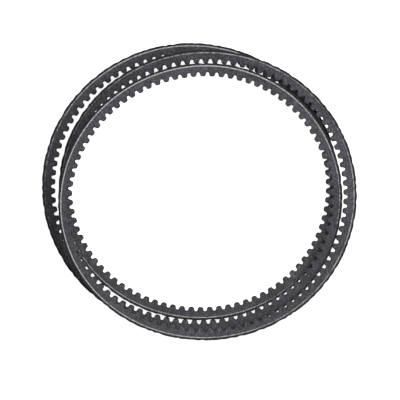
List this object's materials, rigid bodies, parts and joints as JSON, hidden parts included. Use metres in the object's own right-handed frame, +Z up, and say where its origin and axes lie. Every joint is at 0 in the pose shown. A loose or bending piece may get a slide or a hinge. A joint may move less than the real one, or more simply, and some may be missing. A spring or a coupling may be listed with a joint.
{
  "type": "cogged v-belt",
  "caption": "Closed raw-edge cogged V-belt, coiled flat on itself for storage, with trapezoidal section, bonded layers and moulded inner cogs.",
  "frame": {"origin": "on the plane the coil rests on, below the middle of the coil's outline", "axes": "+Z up along the coil's axis, so the belt's width stands upright; +X along the coil's longest side; +Y to the left of +X seen from above"},
  "size_m": [0.2688, 0.254, 0.0503],
  "materials": {
    "back_fabric": "rubberised woven fabric, black, rough",
    "belt_rubber": "fibre-filled rubber, dark grey, matt where it is ground",
    "cushion_gum": "adhesion gum, dark grey, matt",
    "cord": "treated polyester cord, light grey where it is cut",
    "cog_fabric": "rubberised fabric, near-black, rough"
  },
  "bodies": {
    "root": {"backing_fabric": "back_fabric", "overcord_rubber": "belt_rubber", "upper_cushion": "cushion_gum", "tension_cord_01": "cord", "tension_cord_02": "cord", "tension_cord_03": "cord", "tension_cord_04": "cord", "tension_cord_05": "cord", "tension_cord_06": "cord", "tension_cord_07": "cord", "tension_cord_08": "cord", "tension_cord_09": "cord", "tension_cord_10": "cord", "tension_cord_11": "cord", "lower_cushion": "cushion_gum", "compression_rubber": "belt_rubber", "cog_facing_fabric": "cog_fabric"}
  },
  "joints": []
}
